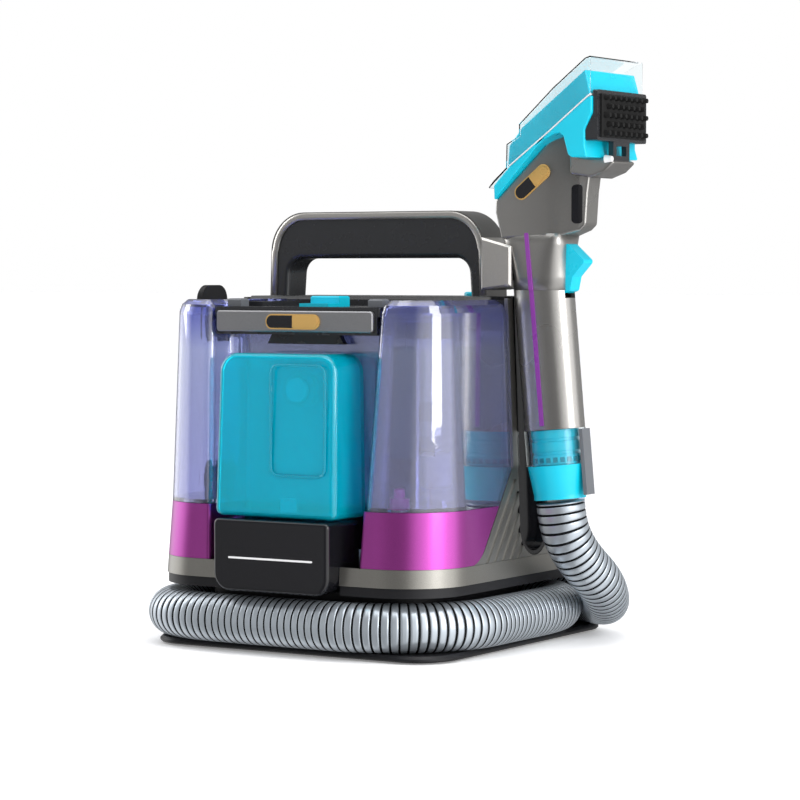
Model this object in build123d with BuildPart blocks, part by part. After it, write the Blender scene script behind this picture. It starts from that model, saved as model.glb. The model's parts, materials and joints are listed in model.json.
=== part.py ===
from build123d import *
import os
from math import pi, radians, sin, tan

# A portable carpet and upholstery cleaner, in millimetres. +X is the user's right, -Y the front, +Z up.
# The origin is the centre of the base, on the floor.

os.makedirs("parts", exist_ok=True)

# ---------------------------------------------------------------- driving dimensions
BASE_HALF_X, BASE_HALF_Y = 126, 135
BASE_CORNER = 33
FOOT_TOP = 1.5
BASE_TOP = 5.8

BODY_Z = 53            # underside of the body, above the wound hose
SKIRT_Z = 46           # a dark skirt hangs from the body down to here
TRAY_TOP = 66
BAND_TOP = 106
DECK_Z, DECK_TOP = 246, 257
HALF_WIDTH, FRONT, REAR = 125, 137, 131          # body outline at BODY_Z
SIDE_DRAFT, FRONT_DRAFT, REAR_DRAFT = 0.040, 0.075, 0.045
CORNER = 48
SKIN = 3

TANK_REAR = -16        # the recovery tank ends here and the main housing starts
TANK_TOP = 255
TANK_WALL = 2.5
TANK_SHOULDER = 9      # height of the rounding round the tank's top
NOTCH_REAR = -98       # back wall of the notch between the tank's two lobes
LID_Z, LID_HALF = 241, 72

FORMULA_Z, FORMULA_TOP = 99.8, 217
FORMULA_HALF, FORMULA_FRONT, FORMULA_REAR = 52, 148, 107
FORMULA_LEAN = 4       # its face leans back this far at the top

CLEAN_FRONT = 82       # the clean-water tank fills the body behind this plane

HANDLE_HALF, HANDLE_THICK = 94, 15
HANDLE_FRONT, HANDLE_REAR = -9, 19
HANDLE_UNDER, HANDLE_TOP = 285.5, 320.5

HOSE_OD, HOSE_BORE = 35.5, 27
HOSE_Z = BASE_TOP + HOSE_OD / 2      # the wound hose lies on the base plate

GRIP_X, GRIP_Y = 46, 38
WAND_TILT = 5.2        # degrees, the top leaning over the machine
CUP_HEIGHT, COLLAR_TOP, GRIP_TOP = 25, 51, 192
HEAD_HALF = 40         # half width of the nozzle mouth
HEAD_WALL = 2
GAP = 0.4              # clearance between parts that move apart

WAND = Plane(origin=(152.4, 0, 110)).rotated((0, -WAND_TILT, 0))
WAND_SIDE = Plane(origin=WAND.origin, x_dir=WAND.x_dir, z_dir=-WAND.y_dir)


# ---------------------------------------------------------------- body envelope
def half_width(z):
    return HALF_WIDTH - SIDE_DRAFT * (z - BODY_Z)


def front(z):
    return FRONT - FRONT_DRAFT * (z - BODY_Z)


def rear(z):
    return REAR - REAR_DRAFT * (z - BODY_Z)


def body_section(z, inset=0.0):
    """Rounded outline of the body at height z."""
    with BuildSketch(Plane.XY.offset(z)) as outline:
        with Locations((0, (rear(z) - front(z)) / 2)):
            RectangleRounded(
                2 * (half_width(z) - inset), front(z) + rear(z) - 2 * inset, CORNER - inset
            )
    return outline.sketch


def body_block(z0, z1, inset=0.0, mode=Mode.ADD):
    """Solid of the body between two heights, drawn in by inset on every side."""
    loft([body_section(z0, inset), body_section(z1, inset)], mode=mode)


def box_between(low, high, mode=Mode.ADD):
    """Box from its lowest corner to its highest."""
    size = [b - a for a, b in zip(low, high)]
    centre = [(a + b) / 2 for a, b in zip(low, high)]
    with Locations(tuple(centre)):
        Box(*size, mode=mode)


def side_prism(points, x0, x1, mode=Mode.ADD):
    """Prism along X from a polygon of (y, z) points."""
    with BuildSketch(Plane.YZ.offset(x0)) as profile:
        with BuildLine():
            Polyline(*points, close=True)
        make_face()
    extrude(profile.sketch, amount=x1 - x0, mode=mode)


def front_prism(points, y0, y1, mode=Mode.ADD):
    """Prism along Y from a polygon of (x, z) points."""
    with BuildSketch(Plane.XZ.offset(-y0)) as profile:
        with BuildLine():
            Polyline(*points, close=True)
        make_face()
    extrude(profile.sketch, amount=y0 - y1, mode=mode)


# The diagonal joint between tank and side panel, in the YZ plane
DIAGONAL_LOW, DIAGONAL_HIGH = (-68, TRAY_TOP), (TANK_REAR, 133.5)
DIAGONAL_RISE = (DIAGONAL_HIGH[1] - DIAGONAL_LOW[1]) / (DIAGONAL_HIGH[0] - DIAGONAL_LOW[0])


def diagonal_y(z, gap=0.0):
    return DIAGONAL_LOW[0] + (z - DIAGONAL_LOW[1]) / DIAGONAL_RISE - gap


# The joint sweeps into the bottom line in an arc: its radius and the length it takes from each side
SWEEP_RADIUS = 28
SWEEP_CORNER = Vector(diagonal_y(TRAY_TOP), TRAY_TOP + 0.2)
SWEEP_UP = Vector(1, DIAGONAL_RISE).normalized()
SWEEP_HALF_ANGLE = radians(SWEEP_UP.get_angle(Vector(-1, 0))) / 2
SWEEP_REACH = SWEEP_RADIUS / tan(SWEEP_HALF_ANGLE)
SWEEP_MIDDLE = SWEEP_CORNER + (SWEEP_UP + Vector(-1, 0)).normalized() * SWEEP_RADIUS * (
    1 / sin(SWEEP_HALF_ANGLE) - 1
)


# ---------------------------------------------------------------- base
with BuildPart() as foot_ring:
    with BuildSketch():
        RectangleRounded(2 * BASE_HALF_X - 20, 2 * BASE_HALF_Y - 20, BASE_CORNER - 10)
        RectangleRounded(2 * BASE_HALF_X - 36, 2 * BASE_HALF_Y - 36, BASE_CORNER - 18, mode=Mode.SUBTRACT)
    extrude(amount=FOOT_TOP)

with BuildPart() as base_plate:
    with BuildSketch(Plane.XY.offset(FOOT_TOP)):
        RectangleRounded(2 * BASE_HALF_X, 2 * BASE_HALF_Y, BASE_CORNER)
    extrude(amount=BASE_TOP - FOOT_TOP)
    chamfer(base_plate.faces().sort_by(Axis.Z)[-1].edges(), 2)
    chamfer(base_plate.faces().sort_by(Axis.Z)[0].edges(), 1)

PLINTH_HALF_X, PLINTH_FRONT, PLINTH_REAR, PLINTH_CORNER, PLINTH_WALL = 95, 113, 100, 40, 4
PORT_END = Vector(80, 84, HOSE_Z)            # the hose leaves its port here
PORT_DIR = Vector(24, -7, 0).normalized()
PORT_LENGTH = 10
BLOCK_LEFT, BLOCK_RIGHT, BLOCK_FRONT, BLOCK_REAR = -50.5, 48.5, 151.5, 110
BLOCK_Z, BLOCK_TOP = 46, 98
BLOCK_STEP = 119       # the block is cut back behind this plane, below the tray

with BuildPart() as plinth:
    with BuildSketch(Plane.XY.offset(BASE_TOP)):
        with Locations((0, (PLINTH_REAR - PLINTH_FRONT) / 2)):
            RectangleRounded(2 * PLINTH_HALF_X, PLINTH_FRONT + PLINTH_REAR, PLINTH_CORNER)
    extrude(amount=BODY_Z - BASE_TOP)
    extrude(body_section(SKIRT_Z, 1.5), amount=BODY_Z - SKIRT_Z)
    with BuildSketch(Plane.XY.offset(BASE_TOP)):
        with Locations((0, (PLINTH_REAR - PLINTH_FRONT) / 2)):
            RectangleRounded(
                2 * (PLINTH_HALF_X - PLINTH_WALL),
                PLINTH_FRONT + PLINTH_REAR - 2 * PLINTH_WALL,
                PLINTH_CORNER - PLINTH_WALL,
            )
    extrude(amount=BODY_Z - BASE_TOP, mode=Mode.SUBTRACT)
    box_between((64, 40, 0), (110, 104, HOSE_Z + HOSE_OD / 2 + 1), mode=Mode.SUBTRACT)
    box_between(
        (BLOCK_LEFT - 0.5, -200, 40), (BLOCK_RIGHT + 0.5, 0.4 - BLOCK_STEP, BODY_Z + 1), mode=Mode.SUBTRACT
    )

PORT_PLANE = Plane(origin=PORT_END - PORT_DIR * PORT_LENGTH, x_dir=(0, 0, 1), z_dir=PORT_DIR)
with BuildPart() as hose_port:
    with BuildSketch(PORT_PLANE):
        Circle(HOSE_OD / 2 - 0.2)
        Circle(HOSE_BORE / 2, mode=Mode.SUBTRACT)
    extrude(amount=PORT_LENGTH - 0.5)

# ---------------------------------------------------------------- lower body
GLAND = Location((-60, 130, 59.6), (90, 0, 0))
with BuildPart() as lower_tray:
    body_block(BODY_Z, TRAY_TOP)
    body_block(BODY_Z + SKIN, TRAY_TOP, inset=SKIN, mode=Mode.SUBTRACT)
    with Locations((0, 0, BODY_Z)):
        Cylinder(HOSE_BORE / 2, 4 * SKIN, mode=Mode.SUBTRACT)
    box_between(
        (BLOCK_LEFT - 0.4, -160, 40), (BLOCK_RIGHT + 0.4, 0.4 - BLOCK_REAR, BLOCK_TOP), mode=Mode.SUBTRACT
    )
    with Locations(GLAND):
        Cylinder(6, 40, mode=Mode.SUBTRACT)

with BuildPart() as front_block:
    box_between((BLOCK_LEFT, -BLOCK_FRONT, BLOCK_Z), (BLOCK_RIGHT, -BLOCK_REAR, BLOCK_TOP))
    fillet(front_block.edges().filter_by(Axis.Y).group_by(Axis.Z)[0], 13)
    fillet(front_block.edges().filter_by(Axis.Y).group_by(Axis.Z)[-1], 4)
    fillet(front_block.faces().sort_by(Axis.Y)[0].edges(), 3.5)
    box_between((-60, -BLOCK_STEP, 40), (60, -100, BODY_Z + 0.4), mode=Mode.SUBTRACT)

# ---------------------------------------------------------------- main housing and side panels
HOUSING_FRONT = TANK_REAR + 1.5
CHANNEL_Y0, CHANNEL_Y1, CHANNEL_Z = -8, 34, 66.8
CHANNEL_DEPTH = 8


def channel_prism(margin, mode):
    """The rounded upright slot in the right flank, grown by margin."""
    y0, y1 = CHANNEL_Y0 - margin, CHANNEL_Y1 + margin
    radius = (y1 - y0) / 2
    with BuildSketch(Plane.YZ.offset(90)) as slot:
        with Locations(((y0 + y1) / 2, (CHANNEL_Z - margin + radius + DECK_Z + 40) / 2)):
            Rectangle(y1 - y0, DECK_Z + 40 - CHANNEL_Z + margin - radius)
        with Locations(((y0 + y1) / 2, CHANNEL_Z - margin + radius)):
            Circle(radius)
    extrude(slot.sketch, amount=60, mode=mode)


with BuildPart() as main_housing:
    body_block(TRAY_TOP, DECK_Z, inset=SKIN + GAP)
    body_block(TRAY_TOP + SKIN, DECK_Z + 1, inset=2 * SKIN + GAP, mode=Mode.SUBTRACT)
    box_between((-200, -200, 0), (200, HOUSING_FRONT, 300), mode=Mode.SUBTRACT)
    box_between((-200, CLEAN_FRONT - GAP, 0), (200, 200, 300), mode=Mode.SUBTRACT)
    box_between((-110, HOUSING_FRONT, TRAY_TOP), (110, HOUSING_FRONT + SKIN, DECK_Z))
    box_between((-110, CLEAN_FRONT - GAP - SKIN, TRAY_TOP), (110, CLEAN_FRONT - GAP, DECK_Z))
    channel_prism(0.6, Mode.SUBTRACT)

def flank_wall(z0, z1, outer, inner, margin):
    """The stretch of body wall between two insets that fills the slot's outline."""
    with BuildPart() as wall:
        body_block(z0, z1, inset=outer)
        body_block(z0, z1, inset=inner, mode=Mode.SUBTRACT)
        channel_prism(margin, Mode.INTERSECT)
    return wall.part


with BuildPart() as dock_channel:
    add(flank_wall(60, DECK_TOP, 0.5, CHANNEL_DEPTH + 2, -0.2))
    add(flank_wall(50, DECK_TOP + 3, -1, CHANNEL_DEPTH, -3), mode=Mode.SUBTRACT)

RIB_PITCH, RIB_WIDTH, RIB_COUNT, RIB_DEPTH = 11.3, 5.0, 5, 1.5
RIB_Z0, RIB_Z1 = 58, 124


def flank(side, inset0, inset1, y_end):
    """One side's share of the body wall between two insets, from the diagonal back to y_end."""
    with BuildPart() as wall:
        body_block(TRAY_TOP + 0.2, DECK_TOP - 1, inset=inset0)
        body_block(TRAY_TOP - 1, DECK_TOP, inset=inset1, mode=Mode.SUBTRACT)
        with BuildSketch(Plane.YZ.offset(60 if side > 0 else -200)) as share:
            with BuildLine():
                foot = SWEEP_CORNER - Vector(0.55 * SWEEP_REACH, 0)
                shoulder = SWEEP_CORNER + SWEEP_UP * SWEEP_REACH
                tip = foot + Vector(0, 0.7)
                ThreePointArc(tip, SWEEP_MIDDLE, shoulder)
                Polyline(
                    shoulder, (TANK_REAR + 0.6, DIAGONAL_HIGH[1]), (TANK_REAR + 0.6, 300),
                    (y_end, 300), (y_end, TRAY_TOP), (foot.X, TRAY_TOP), tip,
                )
            make_face()
        extrude(share.sketch, amount=140, mode=Mode.INTERSECT)
    return wall.part


def rib_grooves(side):
    """Diagonal grooves that leave ribs standing, parallel to the tank's joint."""
    with BuildPart() as grooves:
        for i in range(RIB_COUNT):
            y0 = diagonal_y(RIB_Z0) + 7 + i * RIB_PITCH
            y1 = diagonal_y(RIB_Z1) + 7 + i * RIB_PITCH
            top = RIB_Z1 - i * 9
            y1 -= (RIB_Z1 - top) / DIAGONAL_RISE
            side_prism(
                [(y0, RIB_Z0), (y0 + RIB_WIDTH, RIB_Z0), (y1 + RIB_WIDTH, top), (y1, top)],
                60 if side > 0 else -200, 200 if side > 0 else -60,
            )
    return grooves.part


def side_panel(side):
    """Ribbed outer panel of one flank, in two layers so that the grooves stop half way."""
    outer = flank(side, 0, RIB_DEPTH, CLEAN_FRONT - 1)
    inner = flank(side, RIB_DEPTH, SKIN, CLEAN_FRONT - 1)
    with BuildPart() as panel:
        add(outer)
        add(rib_grooves(side), mode=Mode.SUBTRACT)
        add(inner)
        if side > 0:
            channel_prism(0.2, Mode.SUBTRACT)
    return panel


side_panel_right = side_panel(1)
side_panel_left = side_panel(-1)

with BuildPart() as top_deck:
    body_block(DECK_Z + 0.2, DECK_TOP, inset=SKIN + 1)
    box_between((-200, -200, 0), (200, HOUSING_FRONT + 1, 300), mode=Mode.SUBTRACT)
    box_between((-200, CLEAN_FRONT - GAP, 0), (200, 200, 300), mode=Mode.SUBTRACT)
    chamfer(top_deck.faces().sort_by(Axis.Z)[-1].edges().filter_by(Axis.X).sort_by(Axis.Y)[0], 2.5)
    channel_prism(0.6, Mode.SUBTRACT)
    with Locations((45, 62, DECK_TOP)):
        Cylinder(9.5, 30, mode=Mode.SUBTRACT)

# ---------------------------------------------------------------- handle
LEG_FOOT = DECK_TOP + 0.2
CAP_THICK = 6


def trapezoid(half, top, radius):
    """Upright face in the XZ plane, a little wider at its foot, with rounded top corners."""
    with BuildSketch(Plane.XZ) as shape:
        with BuildLine():
            Polyline(
                (-half - 2, LEG_FOOT), (-half, top), (half, top), (half + 2, LEG_FOOT), close=True,
            )
        make_face()
        fillet(shape.vertices().group_by(Axis.Y)[-1], radius)
    return shape.sketch


def arch_slab(half, top, radius, y0, y1, mode=Mode.ADD):
    """Slab of the arch's outline between two depths."""
    with BuildPart(mode=Mode.PRIVATE) as slab:
        extrude(trapezoid(half, top, radius), amount=y1 - y0, dir=(0, 1, 0))
    add(slab.part.moved(Location((0, y0, 0))), mode=mode)


CORE_HALF, CORE_TOP = HANDLE_HALF - CAP_THICK, HANDLE_TOP - CAP_THICK
OPENING_HALF = HANDLE_HALF - HANDLE_THICK
with BuildPart() as handle_core:
    arch_slab(CORE_HALF, CORE_TOP, 24, HANDLE_FRONT, HANDLE_REAR)
    arch_slab(OPENING_HALF, HANDLE_UNDER, 12, HANDLE_FRONT - 5, HANDLE_REAR + 5, mode=Mode.SUBTRACT)
    rims = handle_core.faces().filter_by(Plane.XZ)
    fillet(rims.edges().filter_by(GeomType.LINE).filter_by(Axis.X).group_by(Axis.Z)[-2], 4)

with BuildPart() as handle_cap:
    arch_slab(HANDLE_HALF, HANDLE_TOP, 30, HANDLE_FRONT - 1, HANDLE_REAR + 1)
    arch_slab(CORE_HALF + 0.1, CORE_TOP + 0.1, 24, HANDLE_FRONT - 5, HANDLE_REAR + 5, mode=Mode.SUBTRACT)

# ---------------------------------------------------------------- wand bracket
with BuildPart() as wand_bracket:
    front_prism([(97, 262), (122, 265), (122, 294), (97, 300.5)], 23, -21)
    chamfer(wand_bracket.faces().sort_by(Axis.Y)[0].edges(), 1.5)
    with BuildSketch(WAND.offset(140)) as grip_hole:
        Ellipse(GRIP_X / 2 + 3, GRIP_Y / 2 + 3)
    extrude(grip_hole.sketch, amount=70, mode=Mode.SUBTRACT)

with BuildPart() as bracket_liner:
    front_prism([(97, 267), (121, 269), (121, 291), (97, 296)], 21, -19)
    with BuildSketch(WAND.offset(140)) as liner_outer:
        Ellipse(GRIP_X / 2 + 3, GRIP_Y / 2 + 3)
    extrude(liner_outer.sketch, amount=70, mode=Mode.INTERSECT)
    with BuildSketch(WAND.offset(130)) as liner_inner:
        Ellipse(GRIP_X / 2 + GAP, GRIP_Y / 2 + GAP)
    extrude(liner_inner.sketch, amount=90, mode=Mode.SUBTRACT)

# ---------------------------------------------------------------- cord storage
HOOK_Y, HOOK_REACH = -5, 158
with BuildPart() as cord_hook_upper:
    with Locations((-136, HOOK_Y + 3, 231)):
        Box(33, 17, 12)
    with BuildSketch(Plane.YZ.offset(-HOOK_REACH)):
        with Locations((HOOK_Y, 243)):
            RectangleRounded(34, 44, 11)
    extrude(amount=6)
    chamfer(cord_hook_upper.faces().sort_by(Axis.X)[0].edges(), 1.5)
    with Locations(Location((-121.2, HOOK_Y + 3, 231), (0, 90, 0))):
        Cylinder(10, 4.6)

with BuildPart() as cord_hook_lower:
    with Locations((-137.5, HOOK_Y + 3, 118)):
        Box(29.4, 17, 12)
    with BuildSketch(Plane.YZ.offset(-HOOK_REACH)):
        with Locations((HOOK_Y, 106)):
            RectangleRounded(34, 44, 11)
    extrude(amount=6)
    chamfer(cord_hook_lower.faces().sort_by(Axis.X)[0].edges(), 1.5)

with BuildPart() as cord_gland:
    with Locations(Location((-60, 123.5, 59.6), (90, 0, 0))):
        Cylinder(6, 22)
    with Locations(Location((-60, 137, 59.6), (90, 0, 0))):
        Cone(5, 6, 6)
    with Locations(GLAND):
        Cylinder(3.5, 60, mode=Mode.SUBTRACT)

# ---------------------------------------------------------------- recovery (dirty-water) tank
def tank_section(z, inset, near_radius=8):
    """Outline of the tank: two front lobes joined behind a notch."""
    lean = (z - BAND_TOP) / (TANK_TOP - BAND_TOP)
    half, notch = half_width(z) - inset, 66 + 6 * lean + inset
    y_front, y_rear, y_notch = inset - front(z), TANK_REAR - inset, NOTCH_REAR + inset
    outer = CORNER - 14 * max(lean, 0) - inset
    near, back = max(near_radius - inset, 0.8), 7 + inset
    points = [
        (half, y_rear), (-half, y_rear), (-half, y_front), (-notch, y_front),
        (-notch, y_notch), (notch, y_notch), (notch, y_front), (half, y_front),
    ]
    with BuildSketch(Plane.XY.offset(z)) as outline:
        with BuildLine():
            FilletPolyline(*points, radius=[3, 3, outer, near, back, back, near, outer], close=True)
        make_face()
    return outline.sketch


def accent_band(side):
    """Band round the foot of one lobe, wrapped a little way into the notch."""
    with BuildPart() as band:
        low, high = TRAY_TOP + 0.2, BAND_TOP
        loft([tank_section(low, 0, 3), tank_section(high, 0, 3)])
        loft([tank_section(low - 1, SKIN, 4), tank_section(high + 1, SKIN, 4)], mode=Mode.SUBTRACT)
        box_between((-61, -200, 60), (61, 0, 110), mode=Mode.SUBTRACT)
        with BuildSketch(Plane.YZ.offset(-150)) as share:
            with BuildLine():
                Polyline((-200, low - 1), (diagonal_y(low - 1, 1), low - 1), (diagonal_y(110, 1), 110),
                         (-200, 110), close=True)
            make_face()
            fillet(share.vertices().sort_by(Axis.X)[2], SWEEP_RADIUS)
        extrude(share.sketch, amount=300, mode=Mode.INTERSECT)
        half = 300 * side
        box_between((min(0, -half), -200, 0), (max(0, -half), 200, 200), mode=Mode.SUBTRACT)
    return band


accent_band_left = accent_band(-1)
accent_band_right = accent_band(1)


def tank_shape(inset):
    """The tank's outer form, or its cavity when inset is the wall."""
    low, high = BAND_TOP + 0.3 + inset, TANK_TOP - inset
    levels = [(low, 0), (high - TANK_SHOULDER, 0), (high - 0.4 * TANK_SHOULDER, 1.8), (high, 6)]
    with BuildPart() as shape:
        for (z0, in0), (z1, in1) in zip(levels, levels[1:]):
            loft([tank_section(z0, inset + in0), tank_section(z1, inset + in1)])
        side_prism(
            [
                (diagonal_y(BAND_TOP - 1, 1 + 1.3 * inset), BAND_TOP - 1),
                (diagonal_y(140, 1 + 1.3 * inset), 140), (20, 140), (20, BAND_TOP - 1),
            ],
            -200, 200, mode=Mode.SUBTRACT,
        )
        box_between(
            (-LID_HALF - inset - 1, -200, LID_Z - inset), (LID_HALF + inset + 1, 0, 300), mode=Mode.SUBTRACT
        )
    return shape.part


tank_cavity = tank_shape(TANK_WALL)
DRAIN = (84, -112)
with BuildPart() as recovery_tank:
    add(tank_shape(0))
    add(tank_cavity, mode=Mode.SUBTRACT)
    with Locations((0, -50, LID_Z)):
        Box(90, 46, 20, mode=Mode.SUBTRACT)
    with Locations((*DRAIN, BAND_TOP)):
        Cylinder(7, 12, mode=Mode.SUBTRACT)

LATCH_HALF = 12.5
BAR_HALF = 69.5
with BuildPart() as tank_lid:
    box_between((-LID_HALF, -119, LID_Z + 2.2), (LID_HALF, TANK_REAR - 1, 250))
    fillet(tank_lid.edges().filter_by(Axis.Z), 3)
    box_between((-BAR_HALF, -119, 230), (BAR_HALF, -101, LID_Z + 2.2))
    box_between((-LID_HALF + 5, -113, 229), (LID_HALF - 5, -106, 246), mode=Mode.SUBTRACT)
    box_between((-LATCH_HALF - 9, -98, 246), (LATCH_HALF + 9, -62, 260), mode=Mode.SUBTRACT)
    for x in (-55, 55):
        box_between((x - 8, -92, 249), (x + 8, -30, 253.5))
    front_prism([(-33, 223), (33, 223), (29, 230.5), (-29, 230.5)], -101, -106)

with BuildPart() as lid_studs:
    with Locations((-61, -103, 253), (61, -103, 253)):
        Box(12, 10, 5.8)
    chamfer(lid_studs.faces().sort_by(Axis.Z)[-2:].edges(), 1.2)

with BuildPart() as bar_face:
    box_between((-67.5, -122, 232), (67.5, -119.2, 247.2))
    fillet(bar_face.edges().filter_by(Axis.Y), 2.6)
    chamfer(bar_face.faces().sort_by(Axis.Y)[0].edges(), 0.8)

with BuildPart() as bar_badge:
    with BuildSketch(Plane.XZ.offset(122.1)):
        with Locations((0, 239.4)):
            RectangleRounded(46.5, 11, 5.4)
    extrude(amount=0.9)

with BuildPart() as tank_latch:
    box_between((-LATCH_HALF, -95, 246.6), (LATCH_HALF, -78, 252.3))
    box_between((-LATCH_HALF, -80, 246.6), (LATCH_HALF, -66, 257.6))
    chamfer(tank_latch.faces().sort_by(Axis.Z)[-1].edges(), 1)

with BuildPart() as latch_spring:
    for x in (-6, 6):
        with Locations(Location((x, -63.9, 250), (90, 0, 0))):
            Cylinder(2.2, 3.4)

STAND_X, STAND_Y, STAND_R = 84, -62, 15
with BuildPart() as standpipe:
    with Locations((STAND_X, STAND_Y, 109)):
        Cylinder(STAND_R, 118, align=(Align.CENTER, Align.CENTER, Align.MIN))
        Cylinder(STAND_R - 2, 119, align=(Align.CENTER, Align.CENTER, Align.MIN), mode=Mode.SUBTRACT)
    for z in (150, 175):
        with Locations((STAND_X, STAND_Y - STAND_R, z)):
            Box(12, 8, 14, mode=Mode.SUBTRACT)

with BuildPart() as float_ball:
    with Locations((STAND_X, STAND_Y, 132)):
        Cylinder(STAND_R - 3.2, 26)
    fillet(float_ball.edges(), 4)

with BuildPart() as drain_plug:
    with Locations((*DRAIN, 111)):
        Cylinder(7, 8)
    with Locations((*DRAIN, 118)):
        Cylinder(4, 8)
    fillet(drain_plug.faces().sort_by(Axis.Z)[-1].edges(), 2)

# ---------------------------------------------------------------- formula tank
def formula_shape(inset):
    """The formula tank's outer form, or its cavity when inset is the wall."""
    low, high = FORMULA_Z + inset, FORMULA_TOP - inset
    wide, narrow = FORMULA_HALF - inset, FORMULA_HALF - 2 - inset
    lean = FORMULA_LEAN
    with BuildPart() as shape:
        with BuildSketch(Plane.XZ.offset(FORMULA_REAR + inset)):
            with BuildLine():
                FilletPolyline(
                    (-wide, low), (wide, low), (narrow, high), (-narrow, high),
                    radius=[5 - inset, 5 - inset, 14 - inset, 14 - inset], close=True,
                )
            make_face()
        extrude(amount=FORMULA_FRONT - FORMULA_REAR - 2 * inset)
        side_prism(
            [
                (inset - FORMULA_FRONT, FORMULA_Z - 1), (inset + lean - FORMULA_FRONT, FORMULA_TOP),
                (-200, FORMULA_TOP), (-200, FORMULA_Z - 1),
            ],
            -100, 100, mode=Mode.SUBTRACT,
        )
        fillet(shape.faces().sort_by(Axis.Y)[0].edges(), 5 - inset)
    return shape.part


formula_outer, formula_cavity = formula_shape(0), formula_shape(TANK_WALL)
RECESS_HALF, RECESS_Z0, RECESS_Z1 = 26, 128, 209
CAP_Z = 190
with BuildPart() as formula_tank:
    add(formula_outer)
    add(formula_cavity, mode=Mode.SUBTRACT)
    box_between((-RECESS_HALF, -114, RECESS_Z0), (RECESS_HALF, -106, RECESS_Z1))
    box_between(
        (-RECESS_HALF + 2, -112, RECESS_Z0 + 2), (RECESS_HALF - 2, -100, RECESS_Z1 - 2), mode=Mode.SUBTRACT
    )
    with Locations(Location((0, -112, CAP_Z), (90, 0, 0))):
        Cylinder(9, 20, mode=Mode.SUBTRACT)

with BuildPart() as formula_cap:
    with Locations(Location((0, -108.4, CAP_Z), (90, 0, 0))):
        Cylinder(13, 6)
    with Locations(Location((0, -113, CAP_Z), (90, 0, 0))):
        Cylinder(8.6, 8)
    box_between((-9, -105.6, CAP_Z - 1.5), (9, -103, CAP_Z + 1.5))

with BuildPart() as formula_valve:
    with Locations((0, -127, FORMULA_Z + TANK_WALL + 5)):
        Cylinder(6, 10)
    fillet(formula_valve.faces().sort_by(Axis.Z)[-1].edges(), 2)

# ---------------------------------------------------------------- clean-water tank at the back
CLEAN_Z, CLEAN_TOP = TRAY_TOP + 0.5, DECK_Z


def clean_shape(inset):
    with BuildPart() as shape:
        body_block(CLEAN_Z + inset, CLEAN_TOP - inset, inset=inset)
        box_between((-200, -200, 0), (200, CLEAN_FRONT + 0.4 + inset, 300), mode=Mode.SUBTRACT)
        fillet(shape.faces().sort_by(Axis.Z)[-1].edges().filter_by(GeomType.LINE), 5 - inset)
    return shape.part


clean_outer, clean_cavity = clean_shape(0), clean_shape(TANK_WALL)
with BuildPart() as clean_tank:
    add(clean_outer)
    add(clean_cavity, mode=Mode.SUBTRACT)
    with Locations((0, 103, CLEAN_TOP)):
        Cylinder(13, 20, mode=Mode.SUBTRACT)
with BuildPart() as clean_cap:
    with Locations((0, 103, CLEAN_TOP + 3.2)):
        Cylinder(16, 6)
    with Locations((0, 103, CLEAN_TOP - 3)):
        Cylinder(12.5, 7)
    box_between((-12, 101.5, CLEAN_TOP + 6), (12, 104.5, CLEAN_TOP + 9))
# ---------------------------------------------------------------- machinery
MOTOR = (-38, 34)
with BuildPart() as vacuum_motor:
    with Locations((*MOTOR, 178)):
        Cylinder(34, 60)
    with Locations((*MOTOR, 212)):
        Cylinder(22, 8)
    fillet(vacuum_motor.faces().sort_by(Axis.Z)[-1].edges(), 3)
    with Locations((*MOTOR, 150)):
        Cylinder(3.04, 40, mode=Mode.SUBTRACT)
with BuildPart() as motor_mount:
    with Locations((*MOTOR, 144)):
        Cylinder(40, 7.9)
        Cylinder(30, 9, mode=Mode.SUBTRACT)
with BuildPart() as fan_scroll:
    with Locations((*MOTOR, 109)):
        Cylinder(42, 62)
        Cylinder(39, 56, mode=Mode.SUBTRACT)
    with Locations((*MOTOR, 140)):
        Cylinder(18, 10, mode=Mode.SUBTRACT)
    with Locations((*MOTOR, 80)):
        Cylinder(16, 10, mode=Mode.SUBTRACT)
BLADES = 8
with BuildPart() as fan_impeller:
    with Locations((*MOTOR, 104)):
        Cylinder(36, 2.5)
    with Locations((*MOTOR, 114)):
        Cylinder(9, 20)
    with Locations((*MOTOR, 140)):
        Cylinder(3, 48)
    with Locations((*MOTOR, 0)):
        with PolarLocations(21, BLADES):
            with Locations((0, 0, 111)):
                Box(28, 1.8, 12.5)
with BuildPart() as water_pump:
    with Locations((50, 30, 89.4)):
        Box(46, 40, 40)
    fillet(water_pump.edges().filter_by(Axis.Z), 6)
    with Locations((50, 30, 122)):
        Cylinder(14, 26)
with BuildPart() as circuit_board:
    box_between((20, 62, 150), (95, 64, 220))
    box_between((30, 54, 160), (50, 62, 178))
    box_between((64, 56, 190), (84, 62, 206))
BUTTON = (45, 62)
with BuildPart() as power_button:
    with Locations((*BUTTON, DECK_TOP - 3)):
        Cylinder(9, 12)
    fillet(power_button.faces().sort_by(Axis.Z)[-1].edges(), 2)
with BuildPart() as tank_seal:
    box_between((-30, TANK_REAR + 0.4, 216), (30, HOUSING_FRONT - 0.1, 240))
    box_between((-26, TANK_REAR - 1, 220), (26, HOUSING_FRONT + 1, 236), mode=Mode.SUBTRACT)

with BuildPart() as housing_screws:
    with Locations(*[(x, y, FOOT_TOP) for x in (-80, 80) for y in (-95, 95)]):
        Cylinder(4, 1.2, align=(Align.CENTER, Align.CENTER, Align.MAX))

# ---------------------------------------------------------------- wand grip and coupling
def grip_section(z, grow=0.0):
    with BuildSketch(WAND.offset(z)) as outline:
        Ellipse(GRIP_X / 2 + grow, GRIP_Y / 2 + grow)
    return outline.sketch


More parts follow.
